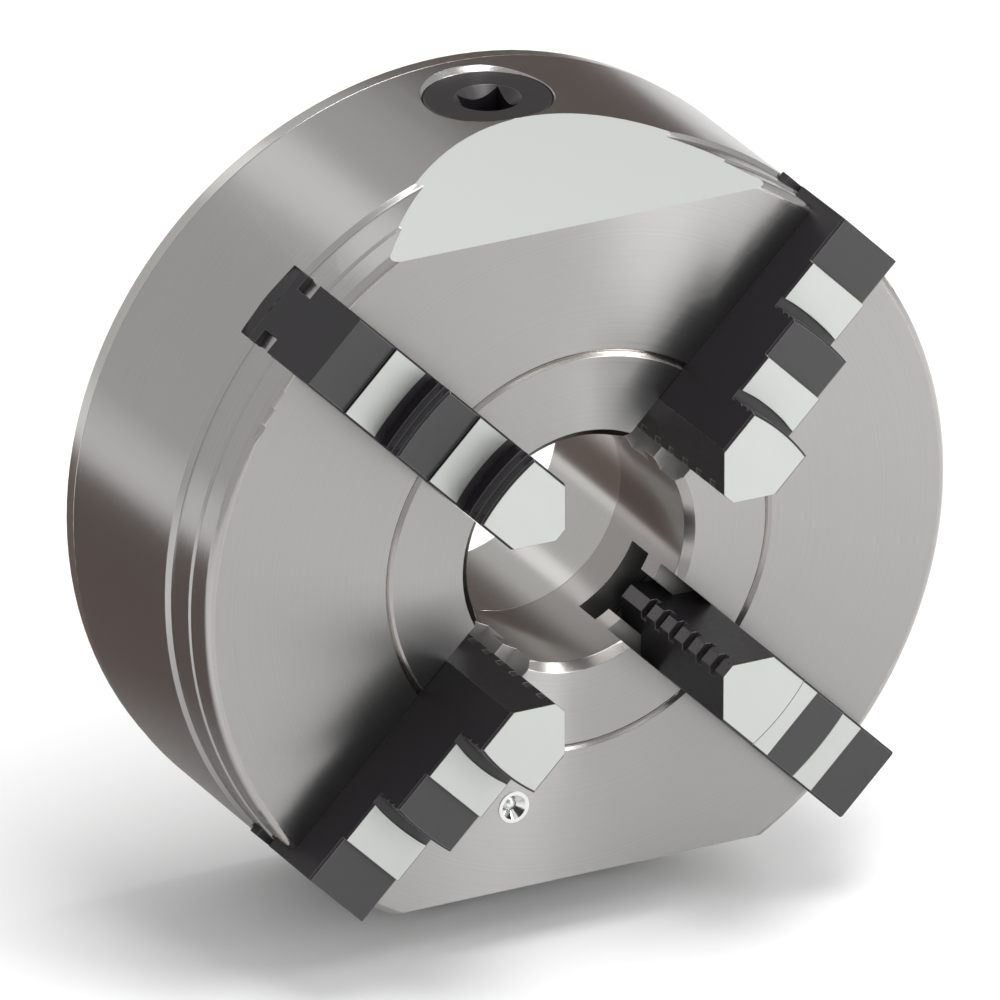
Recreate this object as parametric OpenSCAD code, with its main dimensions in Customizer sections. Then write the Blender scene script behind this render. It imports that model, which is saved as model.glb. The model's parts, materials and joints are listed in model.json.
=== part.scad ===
// Self-centring four-jaw scroll chuck for a lathe.
//
// The chuck lies with its axis along Y: the mounting face is the plane y = 0, the front face and
// the jaws point towards -Y, and +Z is up. Every sub-part is drawn in a chuck frame first, with
// z = 0 at the mounting face and z growing towards the front, and on_axis() turns it into place.

/* [Body] */
// Outside diameter of the chuck
body_d = 200; // [192:1:250]
// Depth from the mounting face to the front face
body_h = 73; // [70:1:95]
// Diameter of the through bore
bore_d = 58; // [44:1:60]
// Chamfer at the front of the through bore
bore_chamfer = 2; // [0.5:0.5:3]
// Rounding of the front face's outer edge
face_round = 2.2; // [0.5:0.1:4]
// How much smaller the front band is than the full radius
front_band_drop = 1.6; // [1.2:0.1:3]
// Depth of the front band behind the front face
front_band_depth = 8.5; // [5:0.5:9]
// How much smaller the second band is than the full radius
second_band_drop = 1.1; // [0.5:0.1:1.1]
// Depth of the second band behind the front face
second_band_depth = 18; // [12:0.5:22]
// Diameter of the turned ring on the front face
face_ring_d = 101; // [90:1:110]
// Width of the turned ring
face_ring_w = 1.8; // [0.8:0.1:3]
// Depth of each slanted flat at the front face, below the full radius
flat_drop = 15.7; // [6:0.1:18]
// Length of each slanted flat along the axis
flat_len = 30.5; // [20:0.5:31]

/* [Mounting] */
// Diameter of the centring register in the back
register_d = 160; // [150:1:160]
// Depth of the centring register
register_depth = 4; // [2:0.5:5]
// Diameter of the circle that the mounting threads lie on
mount_circle_d = 176; // [174:1:180]
// Number of mounting threads
mount_count = 4; // [4]
// Diameter of the mounting threads
mount_thread_d = 10; // [8:1:10]
// Depth of the mounting threads in the body
mount_thread_depth = 20; // [12:1:22]

/* [Jaw guides] */
// Width of the jaws and of their guide slots
jaw_w = 20; // [18:0.5:24]
// Width of the neck between the guide ribs
neck_w = 12; // [10:0.5:13]
// Depth of the guide's shoulder below the front face
shoulder_t = 9; // [7:0.5:10]
// Thickness of the guide ribs
rib_t = 6.3; // [5:0.1:7]
// Thickness of the jaw's foot, rack teeth included
foot_t = 8.2; // [7.5:0.1:9]
// Sliding clearance on each side of a jaw
guide_clearance = 0.05; // [0.02:0.01:0.1]

/* [Jaws] */
// Radius of the jaws' tips in the pose shown
jaw_tip_r = 31.5; // [30:0.5:34]
// How far the jaws' outer ends stand proud of the body
jaw_proud = 0.3; // [0:0.1:1]
// Width of the gripping flat at the tip
tip_flat_w = 3.5; // [2:0.5:6]
// Height of the top step above the front face
top_step_h = 33.3; // [28:0.1:40]
// Height of the middle step above the front face
mid_step_h = 22.2; // [18:0.1:24]
// Height of the low step above the front face
low_step_h = 12.4; // [8:0.1:14]
// Radius of the wall between the top step and the middle step
top_wall_r = 52; // [46:0.5:56]
// Radius of the wall between the middle step and the low step
mid_wall_r = 75; // [70:0.5:80]
// Length of the ground land at the middle step
mid_land_l = 11.5; // [6:0.5:14]
// Length of the ground land at the low step
low_land_l = 12.5; // [6:0.5:14]
// How far a ground land stands above the rest of its step
land_rise = 1; // [0.3:0.1:2]
// Edge chamfer of the steps
jaw_chamfer = 0.5; // [0.2:0.1:1]
// Distance between the serrations of the tip
serration_pitch = 7; // [5:0.5:9]
// Width of each serration groove
serration_w = 2.6; // [1.5:0.1:3.5]
// Depth of each serration groove
serration_depth = 1.2; // [0.5:0.1:2]

/* [Scroll] */
// Distance that a jaw travels in one turn of the scroll
scroll_pitch = 8; // [7.5:0.1:9.6]
// Thickness of the spiral thread
thread_t = 3.2; // [2.6:0.1:3.4]
// Thickness of the jaws' rack teeth
rack_t = 3.2; // [2.6:0.1:3.4]
// Height of the spiral thread's engagement
thread_h = 4.7; // [3.5:0.1:5]
// Outside diameter of the hub that the scroll turns on
hub_d = 72; // [70:1:74]
// Diameter of the cavity that holds the scroll
cavity_d = 160; // [158:1:160]
// Thickness of the scroll's rim
scroll_rim_t = 7.2; // [6:0.1:9]
// Length of the scroll's bore behind the thread
scroll_bore_l = 14.2; // [12:0.1:15]
// Depth of the joint between the body's hub and the cover's hub behind the front face
hub_joint_depth = 35; // [32:0.5:37]

/* [Pinions] */
// Diameter of the pinions' outer journals
pinion_d = 31.2; // [29:0.1:32]
// Diameter of the pinions' inner journals
pinion_tail_d = 12; // [8:0.5:14]
// Number of teeth on each pinion
pinion_teeth = 12; // [12]
// Number of teeth on the scroll's bevel ring
ring_teeth = 72; // [72]
// Outer radius of the bevel teeth
gear_out_r = 68; // [66:0.5:69]
// Length of the bevel teeth
gear_l = 16; // [12:0.5:17]
// Square of the chuck key
key_square = 11; // [8:0.5:12]
// Depth of the key's square socket
key_depth = 18; // [14:0.5:20]
// Diameter of the socket's lead-in
key_lead_d = 16; // [16:0.5:20]
// Diameter of the pins that hold the pinions
pinion_pin_d = 5; // [4:0.5:6]

/* [Rear cover] */
// Thickness of the cover's visible rim
cover_rim_t = 5; // [4:0.5:6]
// Thickness of the cover plate
cover_t = 8; // [7.5:0.1:8.5]
// Width of the cover's visible rim
cover_rim_w = 5; // [3:0.5:5]
// Outside diameter of the shoulder that carries the pinions' tails
tail_boss_d = 88; // [84:1:92]
// Number of cover screws
cover_screw_count = 8; // [8]
// Thread diameter of the cover screws
cover_screw_d = 6; // [5:1:6]
// Length of the cover screws
cover_screw_l = 20; // [16:1:25]
// Diameter of the locating pins
locating_pin_d = 6; // [4:1:8]

/* [Grease nipple] */
// Outside diameter of the nipple
nipple_d = 8; // [7:0.5:10]
// Length of the nipple
nipple_l = 10; // [9.5:0.5:12]
// Distance of the nipple from the chuck's axis
nipple_r = 65.3; // [62:0.1:72]
// Angle of the nipple round the axis
nipple_angle = 254.5; // [245:0.5:262]
// Diameter of the nipple's ball
ball_d = 3.4; // [3:0.1:3.6]

/* [Hidden] */
$fn = 120;

// Clearances
running_clearance = 0.05;
press_clearance = 0.01;
tip_clearance = 0.2;
root_clearance = 0.3;
slot_floor_clearance = 0.2;
end_clearance = 0.3;
rim_clearance = 0.6;
gear_backlash = 0.45;
gear_end_clearance = 0.4;
pin_clearance = 0.1;
pin_groove_clearance = 0.2;
pin_tip_clearance = 0.4;
screw_clearance = 0.3;
mount_hole_clearance = 0.5;
ball_clearance = 0.03;
overlap = 0.01; // how far two shapes of one solid run into each other
cut = 1; // how far a cutting tool runs past a face

// Edges and insets
edge_break = 0.4;
cover_inset = 0.15;
cover_bevel = 0.8;
cover_draft = 0.3;
back_chamfer = 1;
pinion_recess = 1.4;
pinion_lead = 1.2;
pinion_edge = 0.5;
locating_pin_inset = 1;
screw_sink = 0.3;

// Angles
jaw_angles = [45, 135, 225, 315];
pinion_angles = [0, 180];
quarter = 90;
mount_angle = 45;

// Radii
body_r = body_d / 2;
bore_r = bore_d / 2;
hub_r = hub_d / 2;
cavity_r = cavity_d / 2;
register_r = register_d / 2;
mount_r = mount_circle_d / 2;
scroll_bore_r = hub_r + running_clearance;
scroll_r = cavity_r - rim_clearance;
cover_plate_r = body_r - cover_rim_w;
jaw_end_r = body_r + jaw_proud;

// Depths behind the front face
foot_depth = shoulder_t + rib_t + foot_t;
thread_tip_depth = foot_depth - thread_h + tip_clearance;
thread_root_depth = foot_depth + root_clearance;
ceiling_depth = thread_tip_depth - end_clearance;
scroll_rim_depth = thread_root_depth + scroll_rim_t;
scroll_back_depth = thread_root_depth + scroll_bore_l;
journal_gap = 0.9;
pinion_depth = scroll_rim_depth + journal_gap + pinion_d / 2;

// Heights above the mounting face
face_z = body_h;
pinion_z = face_z - pinion_depth;
joint_z = face_z - hub_joint_depth;
boss_top_z = face_z - scroll_back_depth - end_clearance;

// Spiral: four arcs a turn, struck from the corners of a small square
spiral_step = scroll_pitch / 4;
last_tooth_angle = jaw_angles[1];
teeth_per_jaw_max = 12;
rack_phase = jaw_end_r - rack_t / 2 - scroll_pitch * (0.5 + last_tooth_angle / 360);
spiral_r = rack_phase - scroll_pitch * ceil((rack_phase - hub_r) / scroll_pitch);
first_quarter = ceil((hub_r + thread_t / 2 + spiral_step - spiral_r) / spiral_step);
last_quarter = floor((scroll_r - thread_t / 2 - spiral_r) / spiral_step) - 1;
rack_outer_flank_r = hub_r;
rack_inner_flank_r = cavity_r;

// Bevel gearing: the teeth of both wheels run to the point where the two axes cross
gear_in_r = gear_out_r - gear_l;
pinion_pitch_r = gear_out_r * pinion_teeth / ring_teeth;
gear_module = 2 * gear_out_r / ring_teeth;
gear_addendum = 0.8 * gear_module;
gear_dedendum = gear_module;
pressure_angle = 25;
tooth_half_w = (PI * gear_module - gear_backlash) / 4;
base_r = pinion_pitch_r * cos(pressure_angle);
ring_margin = 1.5;
ring_neck_r = gear_in_r - ring_margin;
ring_edge_r = gear_out_r + ring_margin;
pinion_neck_l = 2.5;
journal_in_r = gear_out_r + pinion_neck_l;
journal_out_r = body_r - pinion_recess;
tail_l = 3.6;
tail_in_r = hub_r - tail_l;
pinion_pin_inset = 14;
pinion_pin_r = body_r - pinion_pin_inset;
pin_groove_depth = 2.2;

// Fasteners
screw_angle = 22.5;
screw_head_d = 2 * cover_screw_d;
screw_cone_h = (screw_head_d - cover_screw_d) / 2;
screw_hex = cover_screw_d * 0.67;
screw_hex_depth = cover_screw_d * 0.45;
pin_bury = 5;

// Grease nipple
nipple_wall = 1.9;
nipple_proud = 0.2;
nipple_floor = 1;
dish_d = 6.2;
dish_depth = 1.5;
throat_d = 2.8;
throat_l = 0.5;
ball_seat = sqrt(pow(ball_d / 2, 2) - pow(throat_d / 2, 2));
throat_z = face_z - dish_depth - throat_l;
ball_z = throat_z - ball_seat - ball_clearance;
spring_wire = 0.4;
spring_r = 1.2;
spring_turns = 4;

// Turns a part from the chuck frame (z towards the front) into its place
module on_axis() {
    rotate([90, 0, 0]) children();
}

// Copies its children round the axis
module ring_of(angles) {
    for (a = angles) rotate([0, 0, a]) children();
}

function evenly(count, first) = [for (i = [0 : count - 1]) first + 360 * i / count];

// ---------------------------------------------------------------- chuck body

// Section of the body from the bore to the outside, with the scroll's cavity open to the back
module body_section() {
    front_r = body_r - front_band_drop;
    second_r = body_r - second_band_drop;
    band_step = front_band_drop - second_band_drop;
    second_z = face_z - second_band_depth;
    difference() {
        polygon([
            [bore_r, joint_z],
            [hub_r, joint_z],
            [hub_r, face_z - ceiling_depth],
            [cavity_r, face_z - ceiling_depth],
            [cavity_r, cover_t],
            [cover_plate_r, cover_t],
            [cover_plate_r, cover_rim_t],
            [body_r - edge_break, cover_rim_t],
            [body_r, cover_rim_t + edge_break],
            [body_r, second_z - second_band_drop],
            [second_r, second_z],
            [second_r, face_z - front_band_depth - band_step],
            [front_r, face_z - front_band_depth],
            [front_r, face_z],
            [bore_r + bore_chamfer, face_z],
            [bore_r, face_z - bore_chamfer]
        ]);
        translate([front_r - face_round, face_z - face_round]) difference() {
            square(face_round + cut);
            circle(r = face_round);
        }
    }
}

// Channel for one jaw, along +X from the chuck's axis
module jaw_slot() {
    wide = jaw_w + 2 * guide_clearance;
    narrow = neck_w + 2 * guide_clearance;
    l = body_r + cut;
    foot_z = face_z - foot_depth - slot_floor_clearance;
    rib_z = face_z - shoulder_t - rib_t;
    translate([0, -wide / 2, face_z - shoulder_t]) cube([l, wide, shoulder_t + cut]);
    translate([0, -narrow / 2, foot_z]) cube([l, narrow, foot_depth]);
    translate([0, -wide / 2, foot_z]) cube([l, wide, rib_z - foot_z]);
}

// Slanted flat across the front corner, on the +Y side
module flat_cutter() {
    slope = atan2(flat_drop, flat_len);
    reach = 2 * flat_len;
    translate([0, body_r - flat_drop, face_z]) rotate([slope, 0, 0])
        translate([-body_r, 0, -reach]) cube([body_d, reach, 2 * reach]);
}

// Radial bore for one pinion, on the +Y side
module pinion_bore() {
    bore = pinion_d / 2 + running_clearance;
    wide = bore + pinion_lead;
    translate([0, 0, pinion_z]) rotate([-90, 0, 0]) {
        translate([0, 0, journal_in_r]) cylinder(r = bore, h = body_r - journal_in_r + cut);
        translate([0, 0, journal_out_r]) cylinder(r1 = bore, r2 = wide, h = pinion_lead);
        translate([0, 0, journal_out_r + pinion_lead]) cylinder(r = wide, h = cut);
    }
}

module chuck_body() {
    color("silver") on_axis() difference() {
        rotate_extrude() body_section();
        ring_of(jaw_angles) jaw_slot();
        ring_of(pinion_angles) flat_cutter();
        ring_of(pinion_angles) pinion_bore();
        rotate_extrude() translate([face_ring_d / 2, face_z])
            polygon([[-face_ring_w / 2, cut], [-face_ring_w / 2, 0], [0, -face_ring_w / 2],
                [face_ring_w / 2, 0], [face_ring_w / 2, cut]]);
        ring_of(pinion_angles) translate([0, pinion_pin_r, cover_t - cut])
            cylinder(d = pinion_pin_d + 2 * pin_clearance, h = pinion_z - cover_t);
        ring_of(evenly(mount_count, mount_angle)) translate([mount_r, 0, cover_t - cut])
            cylinder(d = mount_thread_d, h = mount_thread_depth + cut);
        ring_of(evenly(cover_screw_count, screw_angle)) translate([mount_r, 0, cover_t - cut])
            cylinder(d = cover_screw_d + 2 * press_clearance, h = cover_screw_l - cover_t + 3 * cut);
        ring_of([0, 180]) translate([mount_r, 0, cover_t - cut])
            cylinder(d = locating_pin_d + 2 * press_clearance, h = 2 * pin_bury + cut);
        rotate([0, 0, nipple_angle]) translate([nipple_r, 0, 0]) {
            translate([0, 0, face_z - nipple_l])
                cylinder(d = nipple_d + 2 * press_clearance, h = nipple_l + cut);
            translate([0, 0, face_z - ceiling_depth - cut])
                cylinder(d = throat_d, h = ceiling_depth);
        }
    }
}

// ---------------------------------------------------------------- rear cover

module rear_cover() {
    rim_r = body_r - cover_inset;
    draft_r = rim_r - cover_draft;
    color("lightgray") on_axis() difference() {
        union() {
            cylinder(r = cover_plate_r - press_clearance, h = cover_t);
            cylinder(r1 = rim_r - cover_bevel, r2 = draft_r, h = cover_bevel);
            translate([0, 0, cover_bevel])
                cylinder(r1 = draft_r, r2 = rim_r, h = cover_rim_t - cover_bevel);
            cylinder(d = tail_boss_d, h = boss_top_z);
            cylinder(r = hub_r, h = joint_z);
        }
        translate([0, 0, -cut]) cylinder(r = register_r, h = register_depth + cut);
        translate([0, 0, -cut]) cylinder(r = bore_r, h = joint_z + 2 * cut);
        translate([0, 0, register_depth])
            cylinder(r1 = bore_r + back_chamfer, r2 = bore_r, h = back_chamfer);
        ring_of(pinion_angles) translate([0, tail_in_r - gear_end_clearance, pinion_z]) rotate([-90, 0, 0])
            cylinder(r = pinion_tail_d / 2 + running_clearance, h = tail_boss_d / 2);
        ring_of(pinion_angles) translate([0, pinion_pin_r, cover_t - pin_bury])
            cylinder(d = pinion_pin_d + 2 * press_clearance, h = pin_bury + cut);
        ring_of(evenly(mount_count, mount_angle)) translate([mount_r, 0, -cut])
            cylinder(d = mount_thread_d + 2 * mount_hole_clearance, h = cover_t + 2 * cut);
        ring_of(evenly(cover_screw_count, screw_angle)) translate([mount_r, 0, 0]) {
            translate([0, 0, -cut])
                cylinder(d = cover_screw_d + 2 * screw_clearance, h = cover_t + 2 * cut);
            countersink();
        }
        ring_of([0, 180]) translate([mount_r, 0, -cut])
            cylinder(d = locating_pin_d + 2 * press_clearance, h = cover_t + 2 * cut);
    }
}

// Conical seat of a countersunk head that lies just under the mounting face
module countersink() {
    gap = running_clearance;
    translate([0, 0, -cut]) cylinder(r = screw_head_d / 2 + gap, h = screw_sink + cut);
    translate([0, 0, screw_sink])
        cylinder(r1 = screw_head_d / 2 + gap, r2 = cover_screw_d / 2 + gap, h = screw_cone_h);
}

module cover_screw() {
    shank_z = screw_sink + screw_cone_h;
    difference() {
        union() {
            translate([0, 0, screw_sink])
                cylinder(d1 = screw_head_d, d2 = cover_screw_d, h = screw_cone_h);
            translate([0, 0, shank_z]) cylinder(d = cover_screw_d, h = cover_screw_l - shank_z);
        }
        cylinder(d = screw_hex / cos(30), h = screw_sink + screw_hex_depth, $fn = 6);
    }
}

module cover_screws() {
    color("dimgray") on_axis() ring_of(evenly(cover_screw_count, screw_angle))
        translate([mount_r, 0, 0]) cover_screw();
}

module locating_pins() {
    color("gainsboro") on_axis() ring_of([0, 180]) translate([mount_r, 0, locating_pin_inset])
        cylinder(d = locating_pin_d, h = cover_t + 2 * (pin_bury - locating_pin_inset));
}

// ---------------------------------------------------------------- scroll

// One quarter turn of the spiral thread
module thread_quarter(n) {
    corner = spiral_step / 2;
    x = [-1, -1, 1, 1][n % 4] * corner;
    y = [1, -1, -1, 1][n % 4] * corner;
    r = spiral_r + spiral_step / 2 + n * spiral_step;
    h = thread_root_depth - thread_tip_depth;
    translate([x, y, face_z - thread_root_depth - 1]) rotate([0, 0, quarter * n])
        rotate_extrude(angle = quarter) translate([r - thread_t / 2, 0]) square([thread_t, h + 1]);
}

// One tooth of the bevel ring, a wedge that runs to the crossing of the axes
module ring_tooth() {
    tip = pinion_pitch_r - gear_addendum;
    sunk = 0.3;
    root = pinion_pitch_r + gear_dedendum + sunk;
    tip_w = tooth_half_w - gear_addendum * tan(pressure_angle);
    root_w = tooth_half_w + (gear_dedendum + sunk) * tan(pressure_angle);
    section = [[-tip_w, tip], [tip_w, tip], [root_w, root], [-root_w, root]];
    k_in = gear_in_r / gear_out_r;
    k_out = 1 - gear_end_clearance / gear_out_r;
    points = concat([for (p = section) k_in * [gear_out_r, p[0], p[1]]],
        [for (p = section) k_out * [gear_out_r, p[0], p[1]]]);
    polyhedron(points, [[0, 1, 2, 3], [7, 6, 5, 4], [4, 5, 1, 0], [5, 6, 2, 1], [6, 7, 3, 2],
        [7, 4, 0, 3]]);
}

module scroll_plate() {
    root_slope = (pinion_pitch_r + gear_dedendum) / gear_out_r;
    color("darkgray") on_axis() {
        rotate_extrude() polygon([
            [scroll_bore_r, face_z - scroll_back_depth],
            [ring_neck_r, face_z - scroll_back_depth],
            [ring_neck_r, pinion_z + ring_neck_r * root_slope],
            [ring_edge_r, pinion_z + ring_edge_r * root_slope],
            [ring_edge_r, face_z - scroll_rim_depth],
            [scroll_r, face_z - scroll_rim_depth],
            [scroll_r, face_z - thread_root_depth],
            [scroll_bore_r, face_z - thread_root_depth]
        ]);
        for (n = [first_quarter : last_quarter]) thread_quarter(n);
        translate([0, 0, pinion_z]) ring_of(evenly(ring_teeth, 180 / ring_teeth)) ring_tooth();
    }
}

// ---------------------------------------------------------------- pinions

function involute(a) = tan(a) - a * PI / 180;

// Half the angle that a pinion tooth takes at radius r, in degrees
function tooth_half_angle(r) = (tooth_half_w / pinion_pitch_r + involute(pressure_angle)
    - involute(acos(min(1, base_r / r)))) * 180 / PI;

module pinion_outline() {
    tip_r = pinion_pitch_r + gear_addendum;
    root_r = pinion_pitch_r - gear_dedendum;
    flank = [for (i = [0 : 4]) base_r + (tip_r - base_r) * i / 4];
    circle(r = root_r, $fn = 48);
    for (a = evenly(pinion_teeth, 0)) rotate([0, 0, a]) polygon(concat(
        [[0, -base_r * sin(tooth_half_angle(base_r))]],
        [for (r = flank) let (a = tooth_half_angle(r)) r * [cos(a), -sin(a)]],
        [for (i = [4 : -1 : 0]) let (r = flank[i], a = tooth_half_angle(r)) r * [cos(a), sin(a)]],
        [[0, base_r * sin(tooth_half_angle(base_r))]]));
}

// A pinion along +Z, with its gear towards the origin and its key socket at the far end
module pinion() {
    journal = pinion_d / 2;
    groove_w = pinion_pin_d + 2 * pin_groove_clearance;
    k = gear_in_r / gear_out_r;
    lead_h = (key_lead_d - key_square) / 2;
    difference() {
        union() {
            translate([0, 0, tail_in_r]) cylinder(d = pinion_tail_d, h = gear_in_r - tail_in_r + cut);
            translate([0, 0, gear_in_r]) linear_extrude(height = gear_l, scale = 1 / k)
                scale([k, k]) pinion_outline();
            translate([0, 0, gear_out_r - overlap])
                cylinder(r = pinion_pitch_r + gear_addendum, h = pinion_neck_l + 2 * overlap);
            translate([0, 0, journal_in_r])
                cylinder(r = journal, h = journal_out_r - journal_in_r - pinion_edge);
            translate([0, 0, journal_out_r - pinion_edge])
                cylinder(r1 = journal, r2 = journal - pinion_edge, h = pinion_edge);
        }
        translate([0, 0, pinion_pin_r - groove_w / 2]) difference() {
            cylinder(r = journal + cut, h = groove_w);
            cylinder(r = journal - pin_groove_depth, h = groove_w);
        }
        translate([-key_square / 2, -key_square / 2, journal_out_r - key_depth])
            cube([key_square, key_square, key_depth + cut]);
        translate([0, 0, journal_out_r - lead_h])
            cylinder(d1 = key_square, d2 = key_lead_d + 2 * overlap, h = lead_h + overlap);
    }
}

module placed_pinion(angle) {
    color("dimgray") on_axis() rotate([0, 0, angle]) translate([0, 0, pinion_z])
        rotate([-90, 0, 0]) pinion();
}

module placed_pinion_pin(angle) {
    top_z = pinion_z - pinion_d / 2 + pin_groove_depth - pin_tip_clearance;
    color("gainsboro") on_axis() rotate([0, 0, angle]) translate([0, pinion_pin_r, cover_t - pin_bury])
        cylinder(d = pinion_pin_d, h = top_z - cover_t + pin_bury);
}

// ---------------------------------------------------------------- jaws

// Plan of a jaw: a straight bar whose inner end is pointed, with a gripping flat at the point
module jaw_plan() {
    half = jaw_w / 2;
    nose = half - tip_flat_w / 2;
    polygon([[jaw_tip_r, -tip_flat_w / 2], [jaw_tip_r + nose, -half], [jaw_end_r, -half],
        [jaw_end_r, half], [jaw_tip_r + nose, half], [jaw_tip_r, tip_flat_w / 2]]);
}

// Bar along +X between two heights above the front face, with its top edges chamfered
module jaw_bar(low, high, length) {
    half = jaw_w / 2;
    c = jaw_chamfer;
    translate([0, 0, face_z]) rotate([90, 0, 90]) linear_extrude(height = length)
        polygon([[-half, low], [half, low], [half, high - c], [half - c, high], [c - half, high],
            [-half, high - c]]);
}

// Disc about the chuck's axis up to a height above the front face, with its top edge chamfered
module jaw_disc(high, r) {
    c = jaw_chamfer;
    translate([0, 0, face_z - cut]) cylinder(r = r, h = high + cut - c);
    translate([0, 0, face_z + high - c]) cylinder(r1 = r, r2 = r - c, h = c);
}

// Grooves that help a wall to grip, and the relief at its foot
module wall_grooves(r, low, high) {
    relief_w = 2.4;
    relief_depth = 0.8;
    grip_depth = 0.6;
    grip_shares = [0.42, 0.72];
    translate([0, 0, face_z + low]) rotate_extrude() translate([r - grip_depth, -relief_depth])
        square([relief_w + grip_depth, relief_depth + grip_depth]);
    for (share = grip_shares) translate([0, 0, face_z + low + (high - low) * share])
        rotate_extrude() polygon([[r + cut, -grip_depth - cut], [r - grip_depth, 0],
            [r + cut, grip_depth + cut]]);
}

// One tooth of the rack: a crescent, so that it clears the thread at every radius of the spiral
module rack_tooth(r) {
    difference() {
        translate([r + rack_t / 2 - rack_outer_flank_r, 0]) circle(r = rack_outer_flank_r);
        translate([r - rack_t / 2 - rack_inner_flank_r, 0]) circle(r = rack_inner_flank_r);
    }
}

module jaw(angle) {
    half = jaw_w / 2;
    neck_low = -shoulder_t - rib_t - guide_clearance;
    neck_high = -shoulder_t + guide_clearance;
    rack_low = -foot_depth;
    rack_high = rack_low + thread_h;
    first_r = spiral_r + scroll_pitch * (0.5 + angle / 360);
    tooth_setback = 2;
    first_tooth = ceil((jaw_tip_r + tooth_setback - first_r) / scroll_pitch);
    serrations = floor((top_step_h + shoulder_t + rib_t) / serration_pitch);
    color("dimgray") on_axis() rotate([0, 0, angle]) difference() {
        intersection() {
            translate([0, 0, face_z - foot_depth]) linear_extrude(height = foot_depth + top_step_h)
                jaw_plan();
            union() {
                intersection() {
                    jaw_bar(neck_high, top_step_h, jaw_end_r);
                    jaw_disc(top_step_h, top_wall_r);
                }
                intersection() {
                    jaw_bar(neck_high, mid_step_h, jaw_end_r);
                    jaw_disc(mid_step_h, mid_wall_r);
                }
                jaw_bar(neck_high, mid_step_h + land_rise, top_wall_r + mid_land_l);
                jaw_bar(neck_high, low_step_h, jaw_end_r);
                jaw_bar(neck_high, low_step_h + land_rise, mid_wall_r + low_land_l);
                translate([0, -neck_w / 2, face_z + neck_low - cut])
                    cube([jaw_end_r, neck_w, rib_t + 2 * cut + 2 * guide_clearance]);
                translate([0, -half, face_z + rack_high])
                    cube([jaw_end_r, jaw_w, neck_low - rack_high]);
                translate([0, 0, face_z + rack_low]) linear_extrude(height = thread_h + cut)
                    for (i = [first_tooth : first_tooth + teeth_per_jaw_max])
                        let (r = first_r + i * scroll_pitch)
                            if (r + rack_t / 2 < jaw_end_r + overlap) rack_tooth(r);
            }
        }
        wall_grooves(top_wall_r, mid_step_h + land_rise, top_step_h);
        wall_grooves(mid_wall_r, low_step_h + land_rise, mid_step_h);
        for (i = [0 : serrations - 1])
            translate([jaw_tip_r - cut, -half, face_z + top_step_h - (i + 1) * serration_pitch])
                cube([serration_depth + cut, jaw_w, serration_w]);
    }
}

// ---------------------------------------------------------------- grease nipple

module at_nipple() {
    on_axis() rotate([0, 0, nipple_angle]) translate([nipple_r, 0, 0]) children();
}

module nipple_sleeve() {
    bottom_z = face_z - nipple_l;
    color("whitesmoke") at_nipple() difference() {
        translate([0, 0, bottom_z]) cylinder(d = nipple_d, h = nipple_l + nipple_proud);
        translate([0, 0, face_z - dish_depth])
            cylinder(d1 = throat_d, d2 = dish_d, h = dish_depth + nipple_proud + overlap);
        translate([0, 0, throat_z - cut]) cylinder(d = throat_d, h = 2 * cut);
        translate([0, 0, bottom_z + nipple_floor])
            cylinder(d = nipple_d - 2 * nipple_wall, h = throat_z - bottom_z - nipple_floor);
        translate([0, 0, bottom_z - cut]) cylinder(d = throat_d, h = nipple_floor + 2 * cut);
    }
}

module nipple_ball() {
    color("white") at_nipple() translate([0, 0, ball_z]) sphere(d = ball_d, $fn = 48);
}

// Coil spring about +Z that stands on z = 0: one tube swept along a helix
module coil(r, wire_d, height, turns) {
    sides = 8;
    steps = 16 * turns;
    rise = height - wire_d;
    points = [for (i = [0 : steps], j = [0 : sides - 1])
        let (a = 360 * turns * i / steps, b = 360 * j / sides, out = r + wire_d / 2 * cos(b))
            [out * cos(a), out * sin(a), wire_d / 2 * (1 + sin(b)) + rise * i / steps]];
    walls = [for (i = [0 : steps - 1], j = [0 : sides - 1])
        let (k = (j + 1) % sides)
            [i * sides + j, (i + 1) * sides + j, (i + 1) * sides + k, i * sides + k]];
    near = [for (j = [0 : sides - 1]) j];
    far = [for (j = [sides - 1 : -1 : 0]) steps * sides + j];
    polyhedron(points, concat(walls, [near, far]), convexity = 2 * turns);
}

module nipple_spring() {
    low = face_z - nipple_l + nipple_floor;
    high = ball_z - ball_d / 2;
    color("gray") at_nipple() translate([0, 0, low])
        coil(spring_r, spring_wire, high - low, spring_turns);
}

chuck_body();
rear_cover();
cover_screws();
locating_pins();
scroll_plate();
placed_pinion(0);  // pinion_top
placed_pinion(180);  // pinion_bottom
placed_pinion_pin(0);  // pinion_pin_top
placed_pinion_pin(180);  // pinion_pin_bottom
jaw(jaw_angles[0]);  // jaw_1
jaw(jaw_angles[1]);  // jaw_2
jaw(jaw_angles[2]);  // jaw_3
jaw(jaw_angles[3]);  // jaw_4
nipple_sleeve();
nipple_ball();
nipple_spring();
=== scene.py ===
"""Finishes and studio for a self-centring lathe chuck.

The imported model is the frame: the chuck's axis lies along Y, its mounting face is y = 0 and its jaws
point towards -Y. Each operator below dresses one piece, or one group of like pieces.
"""

import json
import math

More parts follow.
